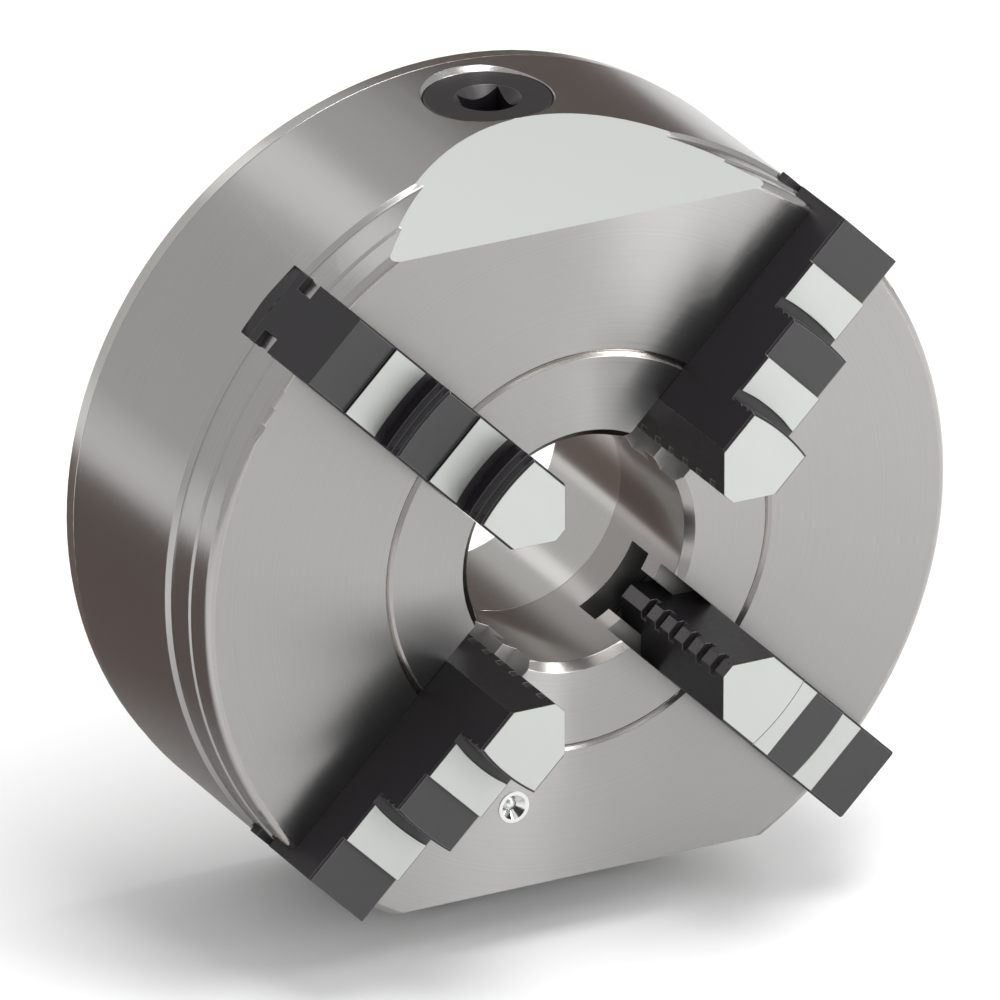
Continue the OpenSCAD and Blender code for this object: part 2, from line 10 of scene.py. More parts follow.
import bmesh
import bpy
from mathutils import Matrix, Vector


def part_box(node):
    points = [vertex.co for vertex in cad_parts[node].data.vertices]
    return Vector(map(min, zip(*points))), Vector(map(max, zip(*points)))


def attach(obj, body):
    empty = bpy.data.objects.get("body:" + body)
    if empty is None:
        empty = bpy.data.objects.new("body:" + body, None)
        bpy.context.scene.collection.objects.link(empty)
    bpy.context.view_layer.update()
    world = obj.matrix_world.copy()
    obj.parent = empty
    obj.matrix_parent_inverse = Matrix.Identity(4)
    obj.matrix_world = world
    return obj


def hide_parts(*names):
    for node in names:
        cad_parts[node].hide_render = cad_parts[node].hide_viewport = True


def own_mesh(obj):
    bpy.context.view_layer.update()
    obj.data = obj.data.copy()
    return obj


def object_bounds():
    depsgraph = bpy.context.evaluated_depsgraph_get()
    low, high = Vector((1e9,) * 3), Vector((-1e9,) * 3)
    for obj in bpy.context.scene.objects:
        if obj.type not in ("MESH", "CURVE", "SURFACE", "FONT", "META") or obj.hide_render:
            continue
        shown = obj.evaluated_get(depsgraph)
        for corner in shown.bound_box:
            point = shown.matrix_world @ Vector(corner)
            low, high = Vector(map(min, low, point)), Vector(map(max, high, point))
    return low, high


bl_info = {
    "name": "Lathe Chuck Finishes",
    "version": (1, 0, 0),
    "blender": (4, 5, 0),
    "location": "3D View > Sidebar > Chuck",
    "description": "Gives a packed lathe chuck its steel finishes, broken edges and studio",
    "category": "Object",
}

MM = 0.001
# points closer together than this are one point
MERGE = 0.002 * MM
# faces that turn by less than this are one flat face
ONE_FLAT = math.radians(0.2)
# an edge that turns by more than this is a real edge, and one that turns less joins two facets of a curve
SHARP = math.radians(26)
# a facet's neighbour on its curve has at least this share of its area
LIKE_AREA = 1 / 8
# an edge is broken where its neighbours are longer than this many widths
ROOM = 6
# how far a face's centre may lie from the plane it belongs to
ON_PLANE = 0.15 * MM
# the share of a face's normal above which the face points along a direction
ALONG = 0.99

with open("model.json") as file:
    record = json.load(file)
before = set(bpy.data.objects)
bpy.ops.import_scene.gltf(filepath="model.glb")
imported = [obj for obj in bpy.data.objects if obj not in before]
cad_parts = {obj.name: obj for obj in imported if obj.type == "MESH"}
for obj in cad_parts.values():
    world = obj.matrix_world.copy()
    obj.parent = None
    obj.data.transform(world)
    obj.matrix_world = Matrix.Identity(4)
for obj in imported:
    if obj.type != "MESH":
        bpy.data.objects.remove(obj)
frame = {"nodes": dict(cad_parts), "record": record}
NODES = frame["nodes"]
BODY_OF = {node: body for body, nodes in frame["record"]["behaviour"]["bodies"].items() for node in nodes}
CAD_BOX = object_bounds()
BODY_LOW, BODY_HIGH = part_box("chuck_body")
BODY_R = BODY_HIGH.x
FACE_Y = BODY_LOW.y
FRONT = Vector((0, FACE_Y, 0))
FLOOR_Z = CAD_BOX[0].z
JAWS = sorted(node for node in NODES if node.startswith("jaw_"))
PINIONS = ("pinion_top", "pinion_bottom")


def linear(code):
    """An sRGB hex colour as linear red, green and blue."""
    parts = [int(code[i : i + 2], 16) / 255 for i in (1, 3, 5)]
    return [c / 12.92 if c <= 0.04045 else ((c + 0.055) / 1.055) ** 2.4 for c in parts]


# ------------------------------------------------------------------------------- settings


def length(name, description, millimetres):
    """A size that is given in millimetres and kept in metres."""
    return bpy.props.FloatProperty(
        name=name, description=description, default=millimetres * MM, unit="LENGTH", precision=5
    )


def angle(name, description, degrees):
    """An angle that is given in degrees and kept in radians."""
    return bpy.props.FloatProperty(
        name=name, description=description, default=math.radians(degrees), subtype="ANGLE"
    )


def power(name, watts):
    """The power of a light."""
    return bpy.props.FloatProperty(name=name, description="Power in watts", default=watts, unit="POWER")


def colour(name, description, code):
    """A colour that is given as sRGB hex and kept linear."""
    return bpy.props.FloatVectorProperty(
        name=name, description=description, default=linear(code), subtype="COLOR", min=0, max=1
    )


class ChuckSizes(bpy.types.PropertyGroup):
    """Sizes that only show on the finished pieces."""

    body_edge: length("Body edge", "Width of the body's broken edges", 0.1)
    jaw_edge: length("Jaw edge", "Width of the jaws' broken edges", 0.09)
    cover_edge: length("Cover edge", "Width of the rear cover's broken edges", 0.15)
    small_edge: length("Small edge", "Width of the edges of pinions and nipple", 0.08)
    turning_step: length("Turning step", "Distance between the turning marks", 0.55)
    grinding_step: length("Grinding step", "Distance between the grinding marks", 0.3)
    milling_step: length("Milling step", "Distance between the milling marks", 1.2)
    oxide_grain: length("Oxide grain", "Size of the black finish's mottling", 1.6)
    clouding: length("Clouding", "Size of the clouds on bright steel", 0.8)
    mid_land: length("Middle land", "Height of the middle step's ground land", 23.2)
    low_land: length("Low land", "Height of the low step's ground land", 13.4)
    screw_count: bpy.props.IntProperty(name="Cover screws", description="Number of cover screws", default=8)
    screw_first: angle("First screw", "Angle of the first cover screw", 22.5)
    screw_circle: length("Screw circle", "Radius of the circle of cover screws", 88)
    screw_hex: length("Screw socket", "Width across the flats of the screws' sockets", 4)
    socket_depth: length("Socket depth", "Depth of the screws' sockets", 2.7)
    spring_turns: bpy.props.FloatProperty(name="Spring turns", description="Turns of the spring", default=4)
    spring_wire: length("Spring wire", "Diameter of the spring's wire", 0.4)


class ChuckColours(bpy.types.PropertyGroup):
    """Colours of the finishes."""

    face: colour("Turned face", "Steel of the turned front face", "#A2A1A0")
    rim: colour("Turned rim", "Steel of the turned outside", "#B1AFAE")
    bore: colour("Bore", "Steel of the bore and the ring", "#A8A4A1")
    milled: colour("Milled steel", "Steel of the guides and pockets", "#C6C5C3")
    flat: colour("Ground flat", "Steel of the slanted flats", "#A8AAA8")
    land: colour("Ground land", "Steel of the jaws' ground lands", "#BABCB9")
    oxide: colour("Black oxide", "Black finish of jaws and pinions", "#1B171B")
    rubbed: colour("Rubbed edge", "Steel that shows through on worn edges", "#666466")
    cover: colour("Cover", "Steel of the rear cover", "#C6C4C0")
    plated: colour("Plating", "Zinc plating of the nipple", "#DADBD8")
    wire: colour("Spring wire", "Drawn wire of the spring", "#9A9A9E")
    floor: colour("Floor", "Paper of the studio floor", "#F5F5F5")
    dark_room: colour("Dark room", "Unlit side of the studio", "#8E8987")
    light_room: colour("Light room", "Lit side of the studio", "#F6F6F6")
    # the dark colour of the standing cloth far behind, and of the painted floor shade that the steel reflects
    # behind the chuck
    flag: colour("Flag", "Dark cloth that gives the steel its shadows", "#6E6460")


class ChuckStudio(bpy.types.PropertyGroup):
    """Camera and light."""

    azimuth: angle("Azimuth", "Camera's turn round Z", -27.2)
    elevation: angle("Elevation", "Camera's height", 24.3)
    distance: length("Distance", "Camera's distance", 6000)
    lens: bpy.props.FloatProperty(name="Lens", description="Focal length in millimetres", default=914)
    aim_left: length("Aim left", "How far left of the front face's centre the camera aims", 18.79)
    aim_up: length("Aim up", "How far above the front face's centre the camera aims", 12.17)
    room_light: bpy.props.FloatProperty(name="Room light", description="Strength of the room", default=0.78)
    top_light: power("Top light", 54)
    strip_light: power("Strip light", 17)
    fill_light: power("Fill light", 1.8)
    back_light: power("Back light", 1.2)


def sizes():
    return bpy.context.scene.chuck_sizes


def colours():
    return bpy.context.scene.chuck_colours


def studio():
    return bpy.context.scene.chuck_studio


# ------------------------------------------------------------------------------- materials

# patches to the metre: what handling leaves on turned steel, and the mottle of paper
HANDLED_PATCHES = 28
PAPER_PATCHES = 9
# noise stays mostly between these
NOISE_LOW, NOISE_HIGH = 0.25, 0.75


def add(tree, kind, fields=None, inputs=None):
    """Adds a node, sets its fields, and sets or links its inputs."""
    node = tree.nodes.new(kind)
    for field, value in (fields or {}).items():
        setattr(node, field, value)
    for key, value in (inputs or {}).items():
        if isinstance(value, bpy.types.NodeSocket):
            tree.links.new(value, node.inputs[key])
        else:
            node.inputs[key].default_value = value
    return node


def new_material(name, base, metallic, roughness):
    """A material with one shader whose constants are on its own sockets, and its Object coordinates."""
    material = bpy.data.materials.new(name)
    material.use_nodes = True
    tree = material.node_tree
    shader = tree.nodes["Principled BSDF"]
    shader.inputs["Base Color"].default_value = (*base, 1)
    shader.inputs["Metallic"].default_value = metallic
    shader.inputs["Roughness"].default_value = roughness
    material.diffuse_color = (*base, 1)
    return material, tree, shader, add(tree, "ShaderNodeTexCoord").outputs["Object"]


def vary(tree, shader, factor, base, roughness, shade, swing):
    """Lets a pattern darken the base colour a little and change the roughness round its middle value."""
    dark = [c * (1 - shade) for c in base]
    mixed = add(tree, "ShaderNodeMix", {"data_type": "RGBA"}, {0: factor, 6: (*dark, 1), 7: (*base, 1)})
    tree.links.new(mixed.outputs[2], shader.inputs["Base Color"])
    rough = add(
        tree,
        "ShaderNodeMapRange",
        {},
        {
            "Value": factor,
            "From Min": NOISE_LOW,
            "From Max": NOISE_HIGH,
            "To Min": roughness - swing,
            "To Max": roughness + swing,
        },
    )
    tree.links.new(rough.outputs["Result"], shader.inputs["Roughness"])


def turned_steel(name, base, roughness, spread):
    """Carbon steel faced on a lathe: fine rings round the axis, which draw each light out into a fan."""
    material, tree, shader, point = new_material(name, base, 1, roughness)
    across = add(tree, "ShaderNodeVectorMath", {"operation": "MULTIPLY"}, {0: point, 1: (1, 0, 1)})
    radius = add(tree, "ShaderNodeVectorMath", {"operation": "LENGTH"}, {0: across.outputs[0]})
    depth = add(tree, "ShaderNodeSeparateXYZ", {}, {0: point})
    # the tool's path grows with the radius on a face and with the depth on a rim
    way = {0: radius.outputs["Value"], 1: depth.outputs["Y"]}
    path = add(tree, "ShaderNodeMath", {"operation": "ADD"}, way)
    # real marks are a tenth of a millimetre apart; these are drawn as coarse as shows
    marks = add(
        tree,
        "ShaderNodeTexNoise",
        {"noise_dimensions": "1D"},
        {"W": path.outputs[0], "Scale": 1 / sizes().turning_step, "Detail": 3, "Roughness": 0.6},
    )
    handled = add(tree, "ShaderNodeTexNoise", {}, {"Vector": point, "Scale": HANDLED_PATCHES, "Detail": 4})
    both = add(tree, "ShaderNodeMix", {}, {0: 0.35, 2: marks.outputs["Fac"], 3: handled.outputs["Fac"]})
    vary(tree, shader, both.outputs[0], base, roughness, shade=0.2, swing=0.05)
    relief = {"Strength": 0.5, "Distance": 0.009 * MM, "Height": marks.outputs["Fac"]}
    bump = add(tree, "ShaderNodeBump", {}, relief)
    tree.links.new(bump.outputs["Normal"], shader.inputs["Normal"])
    round_axis = add(tree, "ShaderNodeVectorMath", {"operation": "CROSS_PRODUCT"}, {0: (0, 1, 0), 1: point})
    tree.links.new(round_axis.outputs[0], shader.inputs["Tangent"])
    shader.inputs["Anisotropic"].default_value = spread
    shader.inputs["Anisotropic Rotation"].default_value = 0.25
    return material


def ground_steel(name, base, roughness):
    """Surface-ground steel: pale and nearly matt, with short straight marks from the wheel."""
    material, tree, shader, point = new_material(name, base, 1, roughness)
    step = sizes().grinding_step
    # the wheel's marks are 25 times as long as they are wide
    long_marks = {"Vector": point, "Scale": (1 / step, 1 / step, 0.04 / step)}
    stretched = add(tree, "ShaderNodeMapping", {}, long_marks)
    marks = add(tree, "ShaderNodeTexNoise", {}, {"Vector": stretched.outputs[0], "Scale": 1, "Detail": 3})
    vary(tree, shader, marks.outputs["Fac"], base, roughness, shade=0.08, swing=0.05)
    relief = {"Strength": 0.25, "Distance": 0.004 * MM, "Height": marks.outputs["Fac"]}
    bump = add(tree, "ShaderNodeBump", {}, relief)
    tree.links.new(bump.outputs["Normal"], shader.inputs["Normal"])
    return material


def milled_steel(name, base, roughness):
    """Milled steel: duller than turned steel, with a faint weave of cutter marks."""
    material, tree, shader, point = new_material(name, base, 1, roughness)
    cutting = {"Vector": point, "Scale": 1 / sizes().milling_step, "Detail": 4}
    marks = add(tree, "ShaderNodeTexNoise", {}, cutting)
    vary(tree, shader, marks.outputs["Fac"], base, roughness, shade=0.15, swing=0.06)
    return material


def black_oxide(name, base, roughness, gloss):
    """Black oxide on hardened steel: an oiled black skin with soft reflections and slight mottling."""
    material, tree, shader, point = new_material(name, base, 0, roughness)
    shader.inputs["IOR"].default_value = 1.5
    shader.inputs["Specular IOR Level"].default_value = gloss
    grain = {"Vector": point, "Scale": 1 / sizes().oxide_grain, "Detail": 5, "Roughness": 0.65}
    mottle = add(tree, "ShaderNodeTexNoise", {}, grain)
    vary(tree, shader, mottle.outputs["Fac"], base, roughness, shade=0.3, swing=0.06)
    relief = {"Strength": 0.2, "Distance": 0.01 * MM, "Height": mottle.outputs["Fac"]}
    bump = add(tree, "ShaderNodeBump", {}, relief)
    tree.links.new(bump.outputs["Normal"], shader.inputs["Normal"])
    return material


def bright_steel(name, base, roughness):
    """Bright drawn or plated steel: small, sharp highlights and a slight clouding."""
    material, tree, shader, point = new_material(name, base, 1, roughness)
    cloud = add(tree, "ShaderNodeTexNoise", {}, {"Vector": point, "Scale": 1 / sizes().clouding, "Detail": 3})
    vary(tree, shader, cloud.outputs["Fac"], base, roughness, shade=0.08, swing=0.04)
    return material


def studio_paper(name, base):
    """Matt background paper: white, with a very faint mottle."""
    material, tree, shader, point = new_material(name, base, 0, 0.9)
    fibre = add(tree, "ShaderNodeTexNoise", {}, {"Vector": point, "Scale": PAPER_PATCHES, "Detail": 4})
    vary(tree, shader, fibre.outputs["Fac"], base, roughness=0.88, shade=0.015, swing=0.04)
    shader.inputs["Specular IOR Level"].default_value = 0.1
    return material


# ------------------------------------------------------------------------------- pieces


def show(name, mesh):
    """Puts a mesh in the scene as an object at the origin."""
    piece = bpy.data.objects.new(name, mesh)
    bpy.context.scene.collection.objects.link(piece)
    return piece


def finished_copy(node, edge, materials, finish_of, worn=-1):
    """Merges a copy of a CAD node, gives each face its finish and breaks the sharp edges.

    worn says which material the broken edges take, and -1 leaves them that of their faces.
    """
    mesh = NODES[node].data.copy()
    mesh.materials.clear()
    for material in materials:
        mesh.materials.append(material)
    if "custom_normal" in mesh.attributes:
        mesh.attributes.remove(mesh.attributes["custom_normal"])
    work = bmesh.new()
    work.from_mesh(mesh)
    bmesh.ops.remove_doubles(work, verts=work.verts, dist=MERGE)
    bmesh.ops.dissolve_limit(work, angle_limit=ONE_FLAT, verts=work.verts, edges=work.edges)
    areas = {face: face.calc_area() for face in work.faces}
    for face in work.faces:
        # a facet of a curve has a neighbour of its own size that carries on from it; a flat face has none
        least = LIKE_AREA * areas[face]
        face.smooth = any(
            side.calc_face_angle() <= SHARP and min(areas[one] for one in side.link_faces) > least
            for side in face.edges
        )
        face.material_index = finish_of(face.calc_center_median(), face.normal)
    weights = work.edges.layers.float.new("bevel_weight_edge")
    for side in work.edges:
        sharp = side.calc_face_angle() > SHARP
        # an edge with hardly any room at its ends stays sharp, or breaking it would fold its neighbours
        roomy = all(other.calc_length() > ROOM * edge for vert in side.verts for other in vert.link_edges)
        side[weights] = float(sharp and roomy)
        side.smooth = not sharp or roomy
    work.to_mesh(mesh)
    work.free()
    piece = show(f"{node}_finished", mesh)
    bevel = piece.modifiers.new("Broken edges", "BEVEL")
    bevel.width = edge
    bevel.segments = 2
    bevel.limit_method = "WEIGHT"
    bevel.use_clamp_overlap = False
    bevel.material = worn
    flat = piece.modifiers.new("Flat faces stay flat", "WEIGHTED_NORMAL")
    flat.keep_sharp = True
    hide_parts(node)
    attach(piece, BODY_OF[node])
    return piece


def finish_cad_node(node, material):
    """Gives a CAD node a better material and leaves its shape alone."""
    for slot in NODES[node].material_slots:
        slot.material = material


def one_finish(centre, normal):
    """The finish of a piece that has the same one all over."""
    return 0


# the body's finishes, in the order of its material slots
FACE, RIM, BORE, MILLED, FLAT = range(5)
# where on the body they begin or end, as shares of its radius
FLAT_FROM = 0.8
RIM_FROM = 0.95
BORE_TO = 0.31
# the slanted flats' normals: hardly any X, and a share of Z between two values
LEVEL = 0.01
SLANT_LOW, SLANT_HIGH = 0.8, 0.95
# the share of a normal that makes a face lean towards a direction
LEANING = 0.5
# how deep the bore's and the ring's chamfers reach below the front face
CHAMFER_DEPTH = 1.5 * MM


def body_finish(centre, normal):
    """Which of the body's finishes a face takes."""
    radius = math.hypot(centre.x, centre.z)
    radial = (centre.x * normal.x + centre.z * normal.z) / radius
    slanted = abs(normal.x) < LEVEL and SLANT_LOW < abs(normal.z) < SLANT_HIGH
    if slanted and abs(centre.z) > FLAT_FROM * BODY_R:
        return FLAT
    if normal.y < -ALONG and abs(centre.y - FACE_Y) < ON_PLANE:
        return FACE
    if radial > LEANING and radius > RIM_FROM * BODY_R:
        return RIM
    if centre.y < FACE_Y + CHAMFER_DEPTH and -ALONG < normal.y < -LEANING:
        return BORE
    if radial < -ALONG and radius < BORE_TO * BODY_R:
        return BORE
    return MILLED


class CHUCK_OT_body(bpy.types.Operator):
    """Finish the chuck body"""

    bl_idname = "chuck.body"
    bl_label = "Body"

    def execute(self, context):
        c = colours()
        finishes = (
            turned_steel("turned_steel_face", c.face, roughness=0.34, spread=0.85),
            turned_steel("turned_steel_rim", c.rim, roughness=0.2, spread=0.5),
            turned_steel("bored_steel", c.bore, roughness=0.2, spread=0.4),
            milled_steel("milled_steel", c.milled, roughness=0.42),
            ground_steel("ground_steel_flat", c.flat, roughness=0.5),
        )
        piece = finished_copy("chuck_body", sizes().body_edge, finishes, body_finish)
        return {"FINISHED"}


class CHUCK_OT_cover(bpy.types.Operator):
    """Finish the rear cover"""

    bl_idname = "chuck.cover"
    bl_label = "Rear cover"

    def execute(self, context):
        finish = turned_steel("turned_steel_cover", colours().cover, roughness=0.18, spread=0.5)
        piece = finished_copy("rear_cover", sizes().cover_edge, (finish,), one_finish)
        return {"FINISHED"}


# the jaws' finishes, in the order of their material slots
SIDE, LAND, STEP, WALL, RUBBED = range(5)
# the share of a normal that makes a step's wall face outwards
FACING = 0.9


def jaw_finish(node):
    """A function that says which of the jaws' finishes a face of this jaw takes."""
    low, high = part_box(node)
    middle = (low + high) / 2
    outward = Vector((middle.x, 0, middle.z)).normalized()
    ground_heights = (FACE_Y - low.y, sizes().mid_land, sizes().low_land)
    tip = min(vert.co.dot(outward) for vert in NODES[node].data.vertices)

    def finish_of(centre, normal):
        height = FACE_Y - centre.y
        along = normal.dot(outward)
        if normal.y < -ALONG:
            return LAND if any(abs(height - ground) < ON_PLANE for ground in ground_heights) else STEP
        if along < -ALONG and centre.dot(outward) < tip + ON_PLANE:
            return RUBBED
        return WALL if along > FACING and height > 0 else SIDE

    return finish_of


class CHUCK_OT_jaws(bpy.types.Operator):
    """Finish the jaws"""

    bl_idname = "chuck.jaws"
    bl_label = "Jaws"

    def execute(self, context):
        c = colours()
        finishes = (
            black_oxide("black_oxide_side", c.oxide, roughness=0.42, gloss=0.35),
            ground_steel("ground_steel_land", c.land, roughness=0.46),
            black_oxide("black_oxide_step", c.oxide, roughness=0.5, gloss=0.75),
            black_oxide("black_oxide_wall", c.oxide, roughness=0.16, gloss=0.5),
            milled_steel("rubbed_edge", c.rubbed, roughness=0.3),
        )
        for node in JAWS:
            piece = finished_copy(node, sizes().jaw_edge, finishes, jaw_finish(node), RUBBED)
        return {"FINISHED"}


class CHUCK_OT_pinions(bpy.types.Operator):
    """Finish the pinions"""

    bl_idname = "chuck.pinions"
    bl_label = "Pinions"

    def execute(self, context):
        finishes = (
            black_oxide("black_oxide_pinion", colours().oxide, roughness=0.38, gloss=0.6),
            milled_steel("rubbed_pinion_edge", colours().rubbed, roughness=0.3),
        )
        for node in PINIONS:
            piece = finished_copy(node, sizes().small_edge, finishes, one_finish, len(finishes) - 1)
        return {"FINISHED"}


# points round a screw, and the edges of its head and socket
SCREW_POINTS = 48
SCREW_EDGE = 0.15 * MM
SCREW_SHARP = math.radians(32)
# the socket's floor is flat up to this share of its half width
FLOOR_SHARE = 0.3


def hex_radius(turn, apothem):
    """The radius of a hexagon at an angle, from half its width across the flats."""
    sixth = math.pi / 3
    return apothem / math.cos((turn % sixth) - sixth / 2)


def screw_mesh(name):
    """A countersunk socket screw that points towards -Y, with its head just behind y = 0."""
    low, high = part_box("cover_screws")
    head_r = high.x - sizes().screw_circle * math.cos(sizes().screw_first)
    shank_r = head_r / 2
    apothem = sizes().screw_hex / 2
    socket = sizes().socket_depth
    edge = SCREW_EDGE
    top = high.y
    cone = head_r - shank_r
    # each ring: depth behind the head's top, radius, and whether it is the socket's hexagon
    rings = (
        (socket, FLOOR_SHARE * apothem, False),
        (socket, apothem, True),
        (edge, apothem, True),
        (0, apothem + edge, True),
        (0, head_r - 2 * edge, False),
        (edge, head_r - edge, False),
        (edge + cone, shank_r, False),
        (top - low.y - 2 * edge, shank_r, False),
        (top - low.y, shank_r - 2 * edge, False),
    )
    turns = [2 * math.pi * k / SCREW_POINTS for k in range(SCREW_POINTS)]
    work = bmesh.new()
    loops = []
    for depth, radius, is_hex in rings:
        loop = []
        for turn in turns:
            reach = hex_radius(turn, radius) if is_hex else radius
            loop.append(work.verts.new((reach * math.cos(turn), top - depth, reach * math.sin(turn))))
        loops.append(loop)
    for upper, lower in zip(loops, loops[1:]):
        for k in range(SCREW_POINTS):
            after = (k + 1) % SCREW_POINTS
            work.faces.new((upper[k], upper[after], lower[after], lower[k]))
    work.faces.new(loops[0])
    work.faces.new(reversed(loops[-1]))
    bmesh.ops.recalc_face_normals(work, faces=work.faces)
    for face in work.faces:
        face.smooth = True
    mesh = bpy.data.meshes.new(name)
    work.to_mesh(mesh)
    work.free()
    mesh.set_sharp_from_angle(angle=SCREW_SHARP)
    return mesh


def new_tree(name, inputs):
    """A Geometry Nodes tree with named inputs, and its input and output nodes."""
    tree = bpy.data.node_groups.new(name, "GeometryNodeTree")
    tree.interface.new_socket("Geometry", in_out="INPUT", socket_type="NodeSocketGeometry")
    for label, kind in inputs.items():
        tree.interface.new_socket(label, in_out="INPUT", socket_type=kind)
    tree.interface.new_socket("Geometry", in_out="OUTPUT", socket_type="NodeSocketGeometry")
    return tree, add(tree, "NodeGroupInput"), add(tree, "NodeGroupOutput")


def end_tree(tree, start, end, geometry):
    """Ends a tree in real faces with the given material."""
    real = add(tree, "GeometryNodeRealizeInstances", {}, {0: geometry}).outputs[0]
    finish = {"Geometry": real, "Material": start.outputs["Material"]}
    dressed = add(tree, "GeometryNodeSetMaterial", {}, finish)
    tree.links.new(dressed.outputs[0], end.inputs[0])


def grown(name, tree, values):
    """Runs a tree on an empty mesh and returns the result as a plain object."""
    seed = show(f"{name}_seed", bpy.data.meshes.new(f"{name}_seed"))
    modifier = seed.modifiers.new(tree.name, "NODES")
    modifier.node_group = tree
    for item in tree.interface.items_tree:
        if item.in_out == "INPUT" and item.name in values:
            modifier[item.identifier] = values[item.name]
    depsgraph = bpy.context.evaluated_depsgraph_get()
    mesh = bpy.data.meshes.new_from_object(seed.evaluated_get(depsgraph))
    seed.modifiers.remove(modifier)
    bpy.data.objects.remove(seed)
    mesh.name = name
    return show(name, mesh)


def screw_ring_tree():
    """Screws at even steps round the chuck's axis."""
    tree, start, end = new_tree(
        "Screw ring",
        {
            "Count": "NodeSocketInt",
            "Radius": "NodeSocketFloat",
            "First Angle": "NodeSocketFloat",
            "Screw": "NodeSocketObject",
            "Material": "NodeSocketMaterial",
        },
    )
    count, radius = start.outputs["Count"], start.outputs["Radius"]
    index = add(tree, "GeometryNodeInputIndex").outputs[0]
    step = add(tree, "ShaderNodeMath", {"operation": "DIVIDE"}, {0: 2 * math.pi, 1: count}).outputs[0]
    stepped = {0: index, 1: step, 2: start.outputs["First Angle"]}
    turned = add(tree, "ShaderNodeMath", {"operation": "MULTIPLY_ADD"}, stepped).outputs[0]
    sides = {}
    for side in ("COSINE", "SINE"):
        wave = add(tree, "ShaderNodeMath", {"operation": side}, {0: turned}).outputs[0]
        sides[side] = add(tree, "ShaderNodeMath", {"operation": "MULTIPLY"}, {0: wave, 1: radius}).outputs[0]
    place = add(tree, "ShaderNodeCombineXYZ", {}, {0: sides["COSINE"], 2: sides["SINE"]}).outputs[0]
    points = add(tree, "GeometryNodePoints", {}, {"Count": count, "Position": place}).outputs[0]
    # a turn about Y runs the other way from an angle in the XZ plane
    back = add(tree, "ShaderNodeMath", {"operation": "MULTIPLY"}, {0: turned, 1: -1.0}).outputs[0]
    euler = add(tree, "ShaderNodeCombineXYZ", {}, {1: back}).outputs[0]
    rotation = add(tree, "FunctionNodeEulerToRotation", {}, {0: euler}).outputs[0]
    screw = add(tree, "GeometryNodeObjectInfo", {}, {"Object": start.outputs["Screw"]}).outputs["Geometry"]
    ring = {"Points": points, "Instance": screw, "Rotation": rotation}
    copies = add(tree, "GeometryNodeInstanceOnPoints", {}, ring)
    end_tree(tree, start, end, copies.outputs[0])
    return tree


class CHUCK_OT_screws(bpy.types.Operator):
    """Make the cover screws"""

    bl_idname = "chuck.screws"
    bl_label = "Cover screws"

    def execute(self, context):
        one = show("one_screw", screw_mesh("one_screw"))
        piece = grown(
            "cover_screws_finished",
            screw_ring_tree(),
            {
                "Count": sizes().screw_count,
                "Radius": sizes().screw_circle,
                "First Angle": sizes().screw_first,
                "Screw": one,
                "Material": black_oxide("black_oxide_screw", colours().oxide, roughness=0.34, gloss=0.6),
            },
        )
        bpy.data.objects.remove(one)
        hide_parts("cover_screws")
        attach(piece, BODY_OF["cover_screws"])
        return {"FINISHED"}


# points in a turn of the spring, and round its wire
COIL_POINTS = 28
WIRE_POINTS = 12


def coil_tree():
    """A helix along -Y from a given place, swept with a round wire."""
    tree, start, end = new_tree(
        "Coil spring",
        {
            "Turns": "NodeSocketFloat",
            "Radius": "NodeSocketFloat",
            "Wire": "NodeSocketFloat",
            "Rise": "NodeSocketFloat",
            "Place": "NodeSocketVector",
            "Material": "NodeSocketMaterial",
        },
    )
    helix = add(
        tree,
        "GeometryNodeCurveSpiral",
        {},
        {
            "Resolution": COIL_POINTS,
            "Rotations": start.outputs["Turns"],
            "Start Radius": start.outputs["Radius"],
            "End Radius": start.outputs["Radius"],
            "Height": start.outputs["Rise"],
        },
    )
    along_y = {
        "Geometry": helix.outputs[0],
        "Translation": start.outputs["Place"],
        "Rotation": (math.pi / 2, 0, 0),
    }
    laid = add(tree, "GeometryNodeTransform", {}, along_y).outputs[0]
    half = add(tree, "ShaderNodeMath", {"operation": "MULTIPLY"}, {0: start.outputs["Wire"], 1: 0.5})
    round_wire = {"Resolution": WIRE_POINTS, "Radius": half.outputs[0]}
    wire = add(tree, "GeometryNodeCurvePrimitiveCircle", {}, round_wire).outputs[0]
    sweep = {"Curve": laid, "Profile Curve": wire, "Fill Caps": True}
    swept = add(tree, "GeometryNodeCurveToMesh", {}, sweep)
    end_tree(tree, start, end, swept.outputs[0])
    return tree


class CHUCK_OT_nipple(bpy.types.Operator):
    """Finish the grease nipple and make its spring"""

    bl_idname = "chuck.nipple"
    bl_label = "Grease nipple"

    def execute(self, context):
        plated = bright_steel("zinc_plated_steel", colours().plated, roughness=0.14)
        sleeve = finished_copy("nipple_sleeve", sizes().small_edge, (plated,), one_finish)
        finish_cad_node("nipple_ball", plated)
        low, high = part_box("nipple_spring")
        wire = sizes().spring_wire
        middle = (low + high) / 2
        spring = grown(
            "nipple_spring_finished",
            coil_tree(),
            {
                "Turns": sizes().spring_turns,
                "Radius": (high.x - low.x - wire) / 2,
                "Wire": wire,
                "Rise": high.y - low.y - wire,
                "Place": (middle.x, high.y - wire / 2, middle.z),
                "Material": bright_steel("drawn_spring_wire", colours().wire, roughness=0.28),
            },
        )
        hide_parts("nipple_spring")
        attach(spring, BODY_OF["nipple_spring"])
        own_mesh(spring)
        return {"FINISHED"}


class CHUCK_OT_inside(bpy.types.Operator):
    """Finish the scroll plate and the pins"""

    bl_idname = "chuck.inside"
    bl_label = "Scroll and pins"

    def execute(self, context):
        turned = turned_steel("turned_steel_scroll", colours().milled, roughness=0.26, spread=0.5)
        finish_cad_node("scroll_plate", turned)
        ground = bright_steel("ground_pin_steel", colours().cover, roughness=0.2)
        for node in ("locating_pins", "pinion_pin_top", "pinion_pin_bottom"):
            finish_cad_node(node, ground)
        return {"FINISHED"}


# ------------------------------------------------------------------------------- studio

